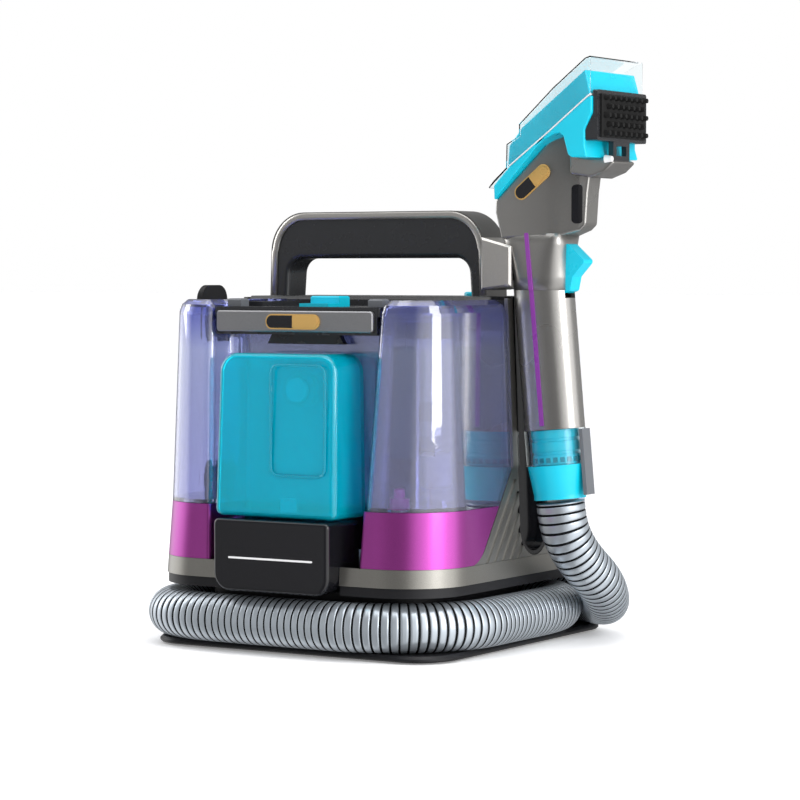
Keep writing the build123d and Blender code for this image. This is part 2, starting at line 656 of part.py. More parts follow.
with BuildPart() as hose_cup:
    with BuildSketch(WAND) as cup_low:
        Circle(18.4)
    with BuildSketch(WAND.offset(CUP_HEIGHT)) as cup_high:
        Circle(22)
    loft([cup_low.sketch, cup_high.sketch])
    with BuildSketch(WAND) as cup_ring:
        Circle(19)
    extrude(cup_ring.sketch, amount=3)
    with BuildSketch(WAND.offset(-1)) as cup_bore:
        Circle(HOSE_BORE / 2)
    extrude(cup_bore.sketch, amount=CUP_HEIGHT + 2, mode=Mode.SUBTRACT)

with BuildPart() as hose_collar:
    with BuildSketch(WAND.offset(CUP_HEIGHT + 0.1)):
        Circle(22.4)
        Circle(18, mode=Mode.SUBTRACT)
    extrude(amount=COLLAR_TOP - CUP_HEIGHT - 0.2)

STRIPE_WIDTH = 3.4
with BuildPart() as wand_stripe:
    loft([grip_section(COLLAR_TOP + 3, 0.6), grip_section(GRIP_TOP - 4, 0.6)])
    loft([grip_section(COLLAR_TOP, 0.02), grip_section(GRIP_TOP, 0.02)], mode=Mode.SUBTRACT)
    with BuildSketch(WAND):
        Rectangle(STRIPE_WIDTH, 80)
    extrude(amount=GRIP_TOP, mode=Mode.INTERSECT)

# trigger on the forward side of the grip
TRIGGER_PIVOT = (20.5, 180)
with BuildPart() as trigger:
    with BuildSketch(WAND_SIDE) as trigger_side:
        with BuildLine():
            Polyline(
                (17, 184), (26, 184), (39, 170), (28, 160), (25, 150), (17, 148), close=True,
            )
        make_face()
        fillet(trigger_side.vertices(), 2.5)
    extrude(amount=7, both=True)
    with BuildSketch(WAND_SIDE):
        with Locations(TRIGGER_PIVOT):
            Circle(1.6)
    extrude(amount=20, both=True, mode=Mode.SUBTRACT)

with BuildPart() as wand_grip:
    loft([grip_section(COLLAR_TOP), grip_section(GRIP_TOP)])
    loft([grip_section(COLLAR_TOP - 1, -3), grip_section(GRIP_TOP + 1, -3)], mode=Mode.SUBTRACT)
    with BuildSketch(WAND_SIDE) as slot_side:
        with Locations((24, 166)):
            Rectangle(20, 42)
    extrude(slot_side.sketch, amount=7.6, both=True, mode=Mode.SUBTRACT)
    with BuildSketch(WAND_SIDE) as pin_side:
        with Locations(TRIGGER_PIVOT):
            Circle(1.6)
    extrude(pin_side.sketch, amount=9, both=True, mode=Mode.SUBTRACT)

with BuildPart() as trigger_pin:
    with BuildSketch(WAND_SIDE):
        with Locations(TRIGGER_PIVOT):
            Circle(1.55)
    extrude(amount=8.6, both=True)

with BuildPart() as trigger_valve:
    with BuildSketch(WAND.offset(106)):
        with Locations((6, 0)):
            Circle(6)
    extrude(amount=36)

# ---------------------------------------------------------------- wand head
def fan_outline(back_half, front_half, x0, x1):
    """Plan outline that widens towards the mouth."""
    with BuildSketch(Plane.XY.offset(290)) as plan:
        with BuildLine():
            Polyline((x0, -back_half), (x1, -front_half), (x1, front_half), (x0, back_half), close=True)
        make_face()
    return plan.sketch


BODY_PROFILE = [
    (108.5, 327.5), (106, 336), (122, 359), (134.5, 373.5), (188, 409.5), (192, 404.2), (198, 404.2),
    (198, 400), (189.8, 396), (189.8, 359.5), (178, 359.5), (160, 369.5),
]
COVER_PROFILE = [
    (103, 336.4), (110, 358), (124, 376), (130.4, 383), (195, 426.5), (200.6, 412), (188, 409.7),
    (134.3, 373.8), (121.8, 359.3), (105.8, 336.4),
]
CHANNEL_PROFILE = [
    (112, 350), (113, 358), (125.8, 374.3), (131.6, 380.6), (194, 423.4), (198.4, 412.5), (201, 409),
    (188, 409.7), (134.3, 373.8), (121.8, 359.3),
]
SHELL_PROFILE = [
    (112.2, 299.4), (107.4, 318), (108.2, 327), (160, 369), (178, 359), (195, 359), (197, 353),
    (182, 342), (172, 336), (164.5, 320), (157.8, 303.6),
]


def throat(mode):
    """The air passage from the back of the nozzle down into the grip."""
    with BuildSketch(Plane(origin=(121, 0, 372), x_dir=(0, 1, 0), z_dir=(14, 0, -76))) as opening:
        Circle(9)
    extrude(opening.sketch, amount=80, mode=mode)


with BuildPart() as nozzle_body:
    front_prism(BODY_PROFILE, 50, -50)
    plan = fan_outline(20, HEAD_HALF - 1, 100, 198)
    extrude(plan, amount=160, mode=Mode.INTERSECT)
    throat(Mode.SUBTRACT)

with BuildPart() as nozzle_channel:
    front_prism(CHANNEL_PROFILE, 50, -50)
    plan = fan_outline(20.5 - HEAD_WALL, HEAD_HALF - HEAD_WALL, 100, 204)
    extrude(plan, amount=160, mode=Mode.INTERSECT)

with BuildPart() as nozzle_cover:
    front_prism(COVER_PROFILE, 50, -50)
    plan = fan_outline(20.5, HEAD_HALF, 100, 204)
    extrude(plan, amount=160, mode=Mode.INTERSECT)
    add(nozzle_channel.part, mode=Mode.SUBTRACT)

with BuildPart() as wand_head:
    front_prism(SHELL_PROFILE, 50, -50)
    with BuildSketch(Plane.XY.offset(280)) as plan:
        with BuildLine():
            Polyline((100, -20), (165, -20), (200, -19), (200, 19), (165, 20), (100, 20), close=True)
        make_face()
    extrude(plan.sketch, amount=160, mode=Mode.INTERSECT)
    throat(Mode.SUBTRACT)

with BuildPart() as spray_nozzle:
    with Locations(Location((200, -16.4, 355.5), (0, 90, 0))):
        Cone(3, 2, 5.4)

with BuildPart() as wand_badge:
    with BuildSketch(Plane(origin=(140, -20.1, 340), x_dir=(0.78, 0, 0.63), z_dir=(0, -1, 0))):
        RectangleRounded(34, 11, 5.4)
    extrude(amount=0.8)

# ---------------------------------------------------------------- brush
BRUSH_X0, BRUSH_X1, BRUSH_Z0 = 190.2, 202, 368
with BuildPart() as brush_holder:
    box_between((BRUSH_X0, -38, BRUSH_Z0), (BRUSH_X1, 38, 403.8))
    box_between((BRUSH_X0 - 1, -60, 395.6), (198.4, 60, 410), mode=Mode.SUBTRACT)
    fillet(brush_holder.edges().filter_by(Axis.X), 2)
    box_between((197.6, -12.5, 354), (201.6, 12.5, 369))
    box_between((190, -7.5, 358), (206, 7.5, 365), mode=Mode.SUBTRACT)

ROW_PITCH, COLUMN_PITCH = 6.3, 8.2
with BuildPart() as bristle_pad:
    box_between((BRUSH_X1 + 0.05, -34, 370.5), (BRUSH_X1 + 1.5, 34, 401))
    for row in range(5):
        count = 8 if row % 2 == 0 else 7
        for column in range(count):
            y = (column - (count - 1) / 2) * COLUMN_PITCH
            with Locations(Location((BRUSH_X1 + 3.5, y, 373.5 + row * ROW_PITCH), (0, 90, 0))):
                Cone(2.3, 1.6, 4.4)

# ---------------------------------------------------------------- release latch on the coupling
with BuildPart() as release_latch:
    with BuildSketch(WAND_SIDE) as latch_side:
        with BuildLine():
            Polyline((22.8, 2), (25.6, 2), (25.6, 50), (22.8, 50), close=True)
        make_face()
    extrude(amount=6, both=True)

# ---------------------------------------------------------------- hose
HOSE_END = WAND.origin - WAND.z_dir * 2.4      # just under the cup
HOSE_ROUTE = [
    tuple(PORT_END), (104, 77, HOSE_Z), (120, 60, HOSE_Z), (125, 34, HOSE_Z), (124.5, -20, HOSE_Z),
    (124, -87, HOSE_Z), (78, -133, HOSE_Z), (-10, -134.5, HOSE_Z), (-95, -133, HOSE_Z), (-126, -102, HOSE_Z),
    (-127, -14, HOSE_Z), (-124, 78, HOSE_Z), (-78, 124, HOSE_Z), (-10, 125, HOSE_Z), (52, 124, HOSE_Z),
    (104, 121, HOSE_Z), (137, 99, HOSE_Z), (153, 72, 30), (163, 43, 46), (159, 19, 64), (156, 6.5, 79), (154, 0.8, 93),
    tuple(HOSE_END),
]


def route_radii(points):
    """Bend radius at each inner point: 0.45 of the shorter run, over the tangent of half the turn."""
    radii = []
    for before, here, after in zip(points, points[1:], points[2:]):
        run_in, run_out = Vector(*here) - Vector(*before), Vector(*after) - Vector(*here)
        turn = radians(run_in.get_angle(run_out))
        radii.append(0.45 * min(run_in.length, run_out.length) / tan(turn / 2))
    return radii


hose_radii = route_radii(HOSE_ROUTE)
hose_path = FilletPolyline(*HOSE_ROUTE, radius=hose_radii)
with BuildPart() as hose:
    with BuildSketch(Plane(origin=PORT_END, z_dir=PORT_DIR)):
        Circle(HOSE_OD / 2)
        Circle(HOSE_BORE / 2, mode=Mode.SUBTRACT)
    sweep(path=hose_path)
print("hose radii", [round(radius) for radius in hose_radii], "length", round(hose_path.length))
HOSE_AREA = pi * ((HOSE_OD / 2) ** 2 - (HOSE_BORE / 2) ** 2)
print("hose volume", round(hose.part.volume), "expected", round(HOSE_AREA * hose_path.length))

# ---------------------------------------------------------------- write every piece
PIECES = dict(
    foot_ring=foot_ring, base_plate=base_plate, plinth=plinth, hose_port=hose_port,
    lower_tray=lower_tray, front_block=front_block, accent_band_left=accent_band_left,
    accent_band_right=accent_band_right,
    main_housing=main_housing, dock_channel=dock_channel,
    side_panel_left=side_panel_left, side_panel_right=side_panel_right, top_deck=top_deck,
    handle_core=handle_core, handle_cap=handle_cap,
    wand_bracket=wand_bracket, bracket_liner=bracket_liner,
    cord_hook_upper=cord_hook_upper, cord_hook_lower=cord_hook_lower, cord_gland=cord_gland,
    recovery_tank=recovery_tank, tank_lid=tank_lid, lid_studs=lid_studs,
    bar_face=bar_face, bar_badge=bar_badge, tank_latch=tank_latch,
    latch_spring=latch_spring, standpipe=standpipe, float_ball=float_ball, drain_plug=drain_plug,
    formula_tank=formula_tank, formula_cap=formula_cap, formula_valve=formula_valve,
    clean_tank=clean_tank, clean_cap=clean_cap,
    vacuum_motor=vacuum_motor, motor_mount=motor_mount, fan_scroll=fan_scroll,
    fan_impeller=fan_impeller, water_pump=water_pump, circuit_board=circuit_board,
    power_button=power_button,
    tank_seal=tank_seal, housing_screws=housing_screws,
    hose_cup=hose_cup, hose_collar=hose_collar, wand_grip=wand_grip, wand_stripe=wand_stripe,
    trigger=trigger, trigger_pin=trigger_pin, trigger_valve=trigger_valve,
    nozzle_body=nozzle_body, nozzle_cover=nozzle_cover, wand_head=wand_head,
    spray_nozzle=spray_nozzle, wand_badge=wand_badge, brush_holder=brush_holder,
    bristle_pad=bristle_pad, release_latch=release_latch, hose=hose,
)
for name, piece in PIECES.items():
    piece.part.label = name
    export_step(piece.part, f"parts/{name}.step")
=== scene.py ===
import json
import math

import bmesh
import bpy
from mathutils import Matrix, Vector


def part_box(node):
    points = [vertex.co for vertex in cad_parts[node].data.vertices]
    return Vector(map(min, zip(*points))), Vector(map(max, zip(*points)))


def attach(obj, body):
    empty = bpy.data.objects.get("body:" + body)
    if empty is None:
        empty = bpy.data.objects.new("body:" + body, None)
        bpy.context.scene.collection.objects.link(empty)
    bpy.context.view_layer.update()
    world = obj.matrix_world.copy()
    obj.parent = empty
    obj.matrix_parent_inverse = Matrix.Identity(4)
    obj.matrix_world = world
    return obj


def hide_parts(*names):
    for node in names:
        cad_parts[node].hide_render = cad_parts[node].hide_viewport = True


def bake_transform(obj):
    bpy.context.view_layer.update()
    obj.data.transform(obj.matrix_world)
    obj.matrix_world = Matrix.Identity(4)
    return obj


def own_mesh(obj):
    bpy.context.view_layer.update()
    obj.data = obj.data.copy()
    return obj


# A portable carpet cleaner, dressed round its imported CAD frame. Metres, +X the machine's right, -Y its front.

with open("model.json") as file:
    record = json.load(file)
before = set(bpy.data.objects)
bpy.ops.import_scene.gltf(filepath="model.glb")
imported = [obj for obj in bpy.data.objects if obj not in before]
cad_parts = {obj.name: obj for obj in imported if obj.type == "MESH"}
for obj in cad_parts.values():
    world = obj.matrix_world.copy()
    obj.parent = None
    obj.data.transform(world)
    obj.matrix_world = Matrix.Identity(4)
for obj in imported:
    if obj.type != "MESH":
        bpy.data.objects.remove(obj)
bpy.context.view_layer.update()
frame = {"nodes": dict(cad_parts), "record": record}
nodes = frame["nodes"]
MM = 0.001


def mm(*values):
    """A point given in millimetres, in metres."""
    return Vector(values) * MM


# ---------------------------------------------------------------- camera, lights and floor
CAMERA_AZIMUTH = math.radians(32.09)
CAMERA_DISTANCE = 2.176
CAMERA_HEIGHT = 0.275
CAMERA_LENS = 129.7
AIM = mm(10.8, 6.8, 178.5)


def make_camera():
    data = bpy.data.cameras.new("camera")
    data.lens = CAMERA_LENS
    data.clip_end = 50
    camera = bpy.data.objects.new("camera", data)
    bpy.context.scene.collection.objects.link(camera)
    side, back = math.sin(CAMERA_AZIMUTH), -math.cos(CAMERA_AZIMUTH)
    camera.location = (CAMERA_DISTANCE * side, CAMERA_DISTANCE * back, CAMERA_HEIGHT)
    camera.rotation_euler = (AIM - camera.location).to_track_quat("-Z", "Y").to_euler()
    bpy.context.scene.camera = camera


def area_light(name, location, target, size, power):
    data = bpy.data.lights.new(name, "AREA")
    data.shape = "RECTANGLE"
    data.size, data.size_y = size
    data.energy = power
    light = bpy.data.objects.new(name, data)
    light.location = location
    light.rotation_euler = (Vector(target) - light.location).to_track_quat("-Z", "Y").to_euler()
    bpy.context.scene.collection.objects.link(light)


# Brightness of the room in reflections, by turn round the object: from -X past its front to +X, then past its back.
ROOM_BANDS = [
    (0.0, 1.6), (0.055, 1.3), (0.085, 0.16), (0.12, 0.28), (0.17, 0.46), (0.25, 0.18), (0.33, 0.12),
    (0.375, 1.2), (0.43, 1.9), (0.57, 1.9), (0.61, 0.6), (0.66, 0.42), (0.90, 0.3), (0.94, 1.4), (1.0, 1.6),
]
# The same by height, from straight down to straight up; it multiplies the bands.
ROOM_HEIGHTS = [(0.0, 0.55), (0.42, 0.8), (0.52, 1.0), (0.70, 0.75), (0.84, 0.55), (0.95, 1.3)]
MATT_LIGHT = (0.78, 0.78, 0.80, 1)
WHITE = (1, 1, 1, 1)
FLOOR_REACH = 30
FLOOR_GLOW = 0.22


def value_ramp(tree, factor, stops):
    """Grey values by factor, from (place, value) stops."""
    ramp = tree.nodes.new("ShaderNodeValToRGB")
    elements = ramp.color_ramp.elements
    while len(elements) > 1:
        elements.remove(elements[0])
    for index, (place, value) in enumerate(stops):
        stop = elements[0] if index == 0 else elements.new(place)
        stop.position = place
        stop.color = (value, value, value, 1)
    tree.links.new(factor, ramp.inputs["Fac"])
    return ramp.outputs["Color"]


def studio_world():
    """White to the camera and through glass, even for matt light, and tall bright panels in reflections."""
    world = bpy.data.worlds.new("studio")
    bpy.context.scene.world = world
    world.use_nodes = True
    tree = world.node_tree
    room = tree.nodes["Background"]
    coordinates = tree.nodes.new("ShaderNodeTexCoord")
    turn = tree.nodes.new("ShaderNodeTexGradient")
    turn.gradient_type = "RADIAL"
    tree.links.new(coordinates.outputs["Generated"], turn.inputs["Vector"])
    split = tree.nodes.new("ShaderNodeSeparateXYZ")
    tree.links.new(coordinates.outputs["Generated"], split.inputs["Vector"])
    height = tree.nodes.new("ShaderNodeMath")
    height.operation = "MULTIPLY_ADD"
    height.inputs[1].default_value = 0.5
    height.inputs[2].default_value = 0.5
    tree.links.new(split.outputs["Z"], height.inputs[0])
    product = tree.nodes.new("ShaderNodeMix")
    product.data_type = "RGBA"
    product.blend_type = "MULTIPLY"
    product.clamp_result = False
    product.inputs["Factor"].default_value = 1
    tree.links.new(value_ramp(tree, turn.outputs["Fac"], ROOM_BANDS), product.inputs["A"])
    tree.links.new(value_ramp(tree, height.outputs["Value"], ROOM_HEIGHTS), product.inputs["B"])
    tree.links.new(product.outputs["Result"], room.inputs["Color"])
    even, white = tree.nodes.new("ShaderNodeBackground"), tree.nodes.new("ShaderNodeBackground")
    even.inputs["Color"].default_value = MATT_LIGHT
    white.inputs["Color"].default_value = WHITE
    rays = tree.nodes.new("ShaderNodeLightPath")
    seen = tree.nodes.new("ShaderNodeMath")
    seen.operation = "MAXIMUM"
    tree.links.new(rays.outputs["Is Camera Ray"], seen.inputs[0])
    tree.links.new(rays.outputs["Is Transmission Ray"], seen.inputs[1])
    matt, mix = tree.nodes.new("ShaderNodeMixShader"), tree.nodes.new("ShaderNodeMixShader")
    tree.links.new(rays.outputs["Is Diffuse Ray"], matt.inputs["Fac"])
    tree.links.new(room.outputs["Background"], matt.inputs[1])
    tree.links.new(even.outputs["Background"], matt.inputs[2])
    tree.links.new(seen.outputs["Value"], mix.inputs["Fac"])
    tree.links.new(matt.outputs["Shader"], mix.inputs[1])
    tree.links.new(white.outputs["Background"], mix.inputs[2])
    tree.links.new(mix.outputs["Shader"], tree.nodes["World Output"].inputs["Surface"])


def make_stage():
    scene = bpy.context.scene
    scene.view_settings.view_transform = "Standard"
    studio_world()
    middle = (0, 0, 0.2)
    area_light("right_softbox", (1.7, -0.3, 0.8), middle, (0.7, 1.3), 15)
    area_light("left_softbox", (-1.75, -0.15, 0.9), middle, (0.6, 1.3), 8)
    area_light("top_softbox", (0.1, -0.1, 2.0), middle, (1.6, 1.6), 12)
    mesh = bpy.data.meshes.new("floor")
    corners = [(FLOOR_REACH * x, FLOOR_REACH * y, 0) for x, y in ((-1, -1), (1, -1), (1, 1), (-1, 1))]
    mesh.from_pydata(corners, [], [(0, 1, 2, 3)])
    floor = bpy.data.objects.new("floor", mesh)
    scene.collection.objects.link(floor)
    paper = painted("floor_paper", (0.95, 0.95, 0.95), 0.9, grain=300, relief=0.0, vary=0.01)
    shader = paper.node_tree.nodes["Principled BSDF"]
    shader.inputs["Emission Color"].default_value = WHITE
    shader.inputs["Emission Strength"].default_value = FLOOR_GLOW
    floor.data.materials.append(paper)
    floor.visible_glossy = False


# ---------------------------------------------------------------- materials
def new_material(name):
    material = bpy.data.materials.new(name)
    material.use_nodes = True
    return material, material.node_tree, material.node_tree.nodes["Principled BSDF"]


def noise(tree, scale, detail=3.0, stretch=(1, 1, 1)):
    coordinates = tree.nodes.new("ShaderNodeTexCoord")
    mapping = tree.nodes.new("ShaderNodeMapping")
    mapping.inputs["Scale"].default_value = stretch
    texture = tree.nodes.new("ShaderNodeTexNoise")
    texture.inputs["Scale"].default_value = scale
    texture.inputs["Detail"].default_value = detail
    tree.links.new(coordinates.outputs["Object"], mapping.inputs["Vector"])
    tree.links.new(mapping.outputs["Vector"], texture.inputs["Vector"])
    return texture.outputs["Fac"]


def spread(tree, factor, low, high):
    """Maps a noise value to a range of numbers."""
    remap = tree.nodes.new("ShaderNodeMapRange")
    remap.inputs["From Min"].default_value = 0.3
    remap.inputs["From Max"].default_value = 0.7
    remap.inputs["To Min"].default_value = low
    remap.inputs["To Max"].default_value = high
    tree.links.new(factor, remap.inputs["Value"])
    return remap.outputs["Result"]


def tint(tree, factor, dark, light):
    """Mixes two colours by a noise value."""
    mix = tree.nodes.new("ShaderNodeMix")
    mix.data_type = "RGBA"
    mix.inputs["A"].default_value = (*dark, 1)
    mix.inputs["B"].default_value = (*light, 1)
    tree.links.new(factor, mix.inputs["Factor"])
    return mix.outputs["Result"]


RELIEF_DEPTH = 0.0002


def relief_from(tree, factor, strength):
    bump = tree.nodes.new("ShaderNodeBump")
    bump.inputs["Strength"].default_value = strength
    bump.inputs["Distance"].default_value = RELIEF_DEPTH
    tree.links.new(factor, bump.inputs["Height"])
    return bump.outputs["Normal"]


def painted(name, colour, roughness, metallic=0.0, grain=1400, relief=0.05, vary=0.06, shine=0.5):
    """Moulded plastic, plain or painted: slight mottling, uneven gloss and a fine surface grain."""
    material, tree, shader = new_material(name)
    cloudy, fine = noise(tree, 14), noise(tree, grain, 2)
    dark = [c * (1 - vary) for c in colour]
    light = [min(1, c * (1 + vary)) for c in colour]
    tree.links.new(tint(tree, spread(tree, cloudy, 0, 1), dark, light), shader.inputs["Base Color"])
    tree.links.new(spread(tree, noise(tree, 60), roughness * 0.88, roughness * 1.12), shader.inputs["Roughness"])
    tree.links.new(relief_from(tree, fine, relief), shader.inputs["Normal"])
    shader.inputs["Metallic"].default_value = metallic
    shader.inputs["Specular IOR Level"].default_value = shine
    return material


def flake_paint(name, colour, roughness=0.32, metallic=0.85, coat=0.25):
    """Metallic paint on plastic: fine flakes of slightly different brightness under a clear coat."""
    material, tree, shader = new_material(name)
    flakes, cloudy = noise(tree, 3800, 1), noise(tree, 9)
    dark, light = [c * 0.86 for c in colour], [min(1, c * 1.14) for c in colour]
    mixed = tint(tree, spread(tree, flakes, 0, 1), dark, light)
    tree.links.new(mixed, shader.inputs["Base Color"])
    tree.links.new(spread(tree, cloudy, roughness * 0.9, roughness * 1.1), shader.inputs["Roughness"])
    tree.links.new(relief_from(tree, flakes, 0.04), shader.inputs["Normal"])
    shader.inputs["Metallic"].default_value = metallic
    shader.inputs["Coat Weight"].default_value = coat
    shader.inputs["Coat Roughness"].default_value = 0.1
    return material


def clear_plastic(name, colour, roughness=0.03, ior=1.45, transmission=1.0, gloss=0.0):
    """Transparent moulded plastic with a faint flow pattern in its surface."""
    material, tree, shader = new_material(name)
    flow = noise(tree, 26, 2, stretch=(1, 1, 0.3))
    dark, light = [c * 0.97 for c in colour], [min(1, c * 1.03) for c in colour]
    tree.links.new(tint(tree, spread(tree, flow, 0, 1), dark, light), shader.inputs["Base Color"])
    tree.links.new(spread(tree, noise(tree, 80), roughness * 0.6, roughness * 1.4), shader.inputs["Roughness"])
    tree.links.new(relief_from(tree, flow, 0.03), shader.inputs["Normal"])
    shader.inputs["Transmission Weight"].default_value = transmission
    shader.inputs["IOR"].default_value = ior
    shader.inputs["Coat Weight"].default_value = gloss
    shader.inputs["Coat Roughness"].default_value = 0.03
    shader.inputs["Coat IOR"].default_value = 1.9
    return material


# Colours of the violet tank, by height from TANK_COLOUR_FOOT to TANK_COLOUR_TOP: its tint, darker at the foot and
# in the dome, partly the thicker mould and partly painted shade
TANK_COLOUR_FOOT, TANK_COLOUR_TOP = 0.100, 0.260
TANK_TINT_AND_SHADE = [
    (0.0, (0.20, 0.12, 0.42, 1)), (0.06, (0.56, 0.58, 0.88, 1)), (0.74, (0.62, 0.66, 0.90, 1)),
    (0.88, (0.38, 0.42, 0.82, 1)), (1.0, (0.22, 0.25, 0.66, 1)),
]


def violet_tank():
    """Clear violet plastic, darker and deeper in colour in the domed top and at the foot, set by height: partly the
    thicker mould's tint, partly painted shade standing in for refraction there.
    """
    material = clear_plastic("tank_violet", (1, 1, 1), ior=1.35, transmission=0.92, gloss=1.0)
    tree = material.node_tree
    shader = tree.nodes["Principled BSDF"]
    coordinates, split = tree.nodes.new("ShaderNodeTexCoord"), tree.nodes.new("ShaderNodeSeparateXYZ")
    height, ramp = tree.nodes.new("ShaderNodeMapRange"), tree.nodes.new("ShaderNodeValToRGB")
    tree.links.new(coordinates.outputs["Object"], split.inputs["Vector"])
    height.inputs["From Min"].default_value = TANK_COLOUR_FOOT
    height.inputs["From Max"].default_value = TANK_COLOUR_TOP
    tree.links.new(split.outputs["Z"], height.inputs["Value"])
    tree.links.new(height.outputs["Result"], ramp.inputs["Fac"])
    elements = ramp.color_ramp.elements
    elements[0].color, elements[1].color = TANK_TINT_AND_SHADE[0][1], TANK_TINT_AND_SHADE[-1][1]
    for place, colour in TANK_TINT_AND_SHADE[1:-1]:
        elements.new(place).color = colour
    tree.links.new(ramp.outputs["Color"], shader.inputs["Base Color"])
    return material


MATERIALS = {
    "base_black": painted("base_black", (0.012, 0.012, 0.014), 0.42, shine=0.3),
    "rubber_black": painted("rubber_black", (0.012, 0.012, 0.012), 0.75, relief=0.12, shine=0.2),
    "champagne": flake_paint("champagne", (0.31, 0.30, 0.275)),
    # Lighter copy of champagne: a painted highlight, for the wand bracket's front flats and the handle trim
    "champagne_painted_highlight": flake_paint("champagne_painted_highlight", (0.58, 0.56, 0.53)),
    "champagne_ribbed": flake_paint("champagne_ribbed", (0.29, 0.285, 0.27)),
    "magenta": flake_paint("magenta", (0.47, 0.07, 0.40), 0.3),
    "gloss_black": painted("gloss_black", (0.008, 0.008, 0.010), 0.14, relief=0.01, shine=0.5),
    "handle_black": painted("handle_black", (0.020, 0.021, 0.024), 0.26, shine=0.6),
    "gunmetal": flake_paint("gunmetal", (0.20, 0.196, 0.188), 0.3),
    "bar_grey": flake_paint("bar_grey", (0.36, 0.36, 0.375), 0.35),
    "badge_gold": painted("badge_gold", (0.70, 0.42, 0.13), 0.3, metallic=0.4),
    "tank_violet": violet_tank(),
    "tank_cyan": clear_plastic("tank_cyan", (0.0, 0.80, 0.97), transmission=0.76, gloss=0.12),
    "tank_blue": clear_plastic("tank_blue", (0.62, 0.72, 0.92)),
    "clear": clear_plastic("clear", (0.90, 0.96, 0.98), ior=1.3),
    # Darker copy of cyan: painted shade for the formula tank's window rim and the coupling's small windows
    "cyan_painted_shade": painted("cyan_painted_shade", (0.0, 0.27, 0.38), 0.25, relief=0.01),
    "cyan": painted("cyan", (0.0, 0.57, 0.75), 0.3, relief=0.01),
    "wand_grey": flake_paint("wand_grey", (0.37, 0.36, 0.345), 0.28),
    "purple": painted("purple", (0.24, 0.04, 0.32), 0.3),
    "hose_grey": painted("hose_grey", (0.50, 0.55, 0.60), 0.32, metallic=0.65),
    "white": painted("white", (0.8, 0.8, 0.8), 0.35),
    "pink": painted("pink", (0.70, 0.08, 0.42), 0.3),
    "motor_steel": flake_paint("motor_steel", (0.5, 0.5, 0.5), 0.3, 1.0, 0.0),
    "steel": flake_paint("steel", (0.55, 0.55, 0.55), 0.28, 1.0, 0.0),
    "board_green": painted("board_green", (0.03, 0.18, 0.07), 0.4),
    "grey_plastic": painted("grey_plastic", (0.15, 0.16, 0.175), 0.4),
    # Near-black painted shade for the bottoms of the hose's grooves
    "groove_painted_shade": painted("groove_painted_shade", (0.010, 0.011, 0.013), 0.6, shine=0.1),
}


def dress_nodes():
    """Gives each CAD node the material of its slot in the record."""
    for entry in frame["record"]["subparts"]:
        part = nodes[entry["node"]]
        part.data.materials.clear()
        part.data.materials.append(MATERIALS[entry["material_slot"]])
    # The wand bracket's front flats get the lighter champagne, a painted highlight
    nodes["wand_bracket"].data.materials[0] = MATERIALS["champagne_painted_highlight"]


# ---------------------------------------------------------------- mesh helpers
def mesh_object(name, points, faces, body=None, slot=None):
    mesh = bpy.data.meshes.new(name)
    mesh.from_pydata([tuple(p) for p in points], [], faces)
    mesh.validate()
    mesh.shade_smooth()
    piece = bpy.data.objects.new(name, mesh)
    bpy.context.scene.collection.objects.link(piece)
    if slot:
        mesh.materials.append(MATERIALS[slot])
    if body:
        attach(piece, body)
    return piece


def bridge_rings(rings, closed=False):
    """Points and faces of a skin over rings of equal length; closed joins the last ring to the first."""
    count = len(rings[0])
    points = [p for ring in rings for p in ring]
    faces = []
    last = len(rings) if closed else len(rings) - 1
    for i in range(last):
        a, b = i * count, ((i + 1) % len(rings)) * count
        for j in range(count):
            k = (j + 1) % count
            faces.append((a + j, a + k, b + k, b + j))
    return points, faces


def capped_tube(rings):
    """Points and faces of a skin over rings of equal length, closed at both ends."""
    points, faces = bridge_rings(rings)
    count = len(rings[0])
    faces.append(tuple(reversed(range(count))))
    faces.append(tuple(range(len(points) - count, len(points))))
    return points, faces


# ---------------------------------------------------------------- hose
HOSE_Z = 0.02355
HOSE_ROUTE = [
    (0.080, 0.084, HOSE_Z), (0.104, 0.077, HOSE_Z), (0.120, 0.060, HOSE_Z), (0.125, 0.034, HOSE_Z),
    (0.1245, -0.020, HOSE_Z), (0.124, -0.087, HOSE_Z), (0.078, -0.133, HOSE_Z), (-0.010, -0.1345, HOSE_Z),
    (-0.095, -0.133, HOSE_Z), (-0.126, -0.102, HOSE_Z), (-0.127, -0.014, HOSE_Z), (-0.124, 0.078, HOSE_Z),
    (-0.078, 0.124, HOSE_Z), (-0.010, 0.125, HOSE_Z), (0.052, 0.124, HOSE_Z), (0.104, 0.121, HOSE_Z),
    (0.137, 0.099, HOSE_Z), (0.153, 0.072, 0.030), (0.163, 0.043, 0.046), (0.159, 0.019, 0.064),
    (0.156, 0.0065, 0.079), (0.154, 0.0008, 0.093), (0.15262, 0.0, 0.10761),
]
HOSE_RADIUS = 0.01775
RIB_PITCH = 0.0057
RIB_STEPS = 8
RIB_SHOULDER = 2.9      # how steeply the crest rises out of its groove
GROOVE_DEPTH = 0.0024
HOSE_SIDES = 56


def spline_points(name, route, resolution=24):
    """Points along the smooth NURBS line that has the route as its control points."""
    data = bpy.data.curves.new(name, "CURVE")
    data.dimensions = "3D"
    data.resolution_u = resolution
    spline = data.splines.new("NURBS")
    spline.points.add(len(route) - 1)
    for point, place in zip(spline.points, route):
        point.co = (*place, 1)
    spline.order_u = 3
    spline.use_endpoint_u = True
    guide = bpy.data.objects.new(name, data)
    bpy.context.scene.collection.objects.link(guide)
    bpy.context.view_layer.update()
    mesh = bpy.data.meshes.new_from_object(guide)
    points = [v.co.copy() for v in mesh.vertices]
    bpy.data.objects.remove(guide)
    bpy.data.meshes.remove(mesh)
    return points


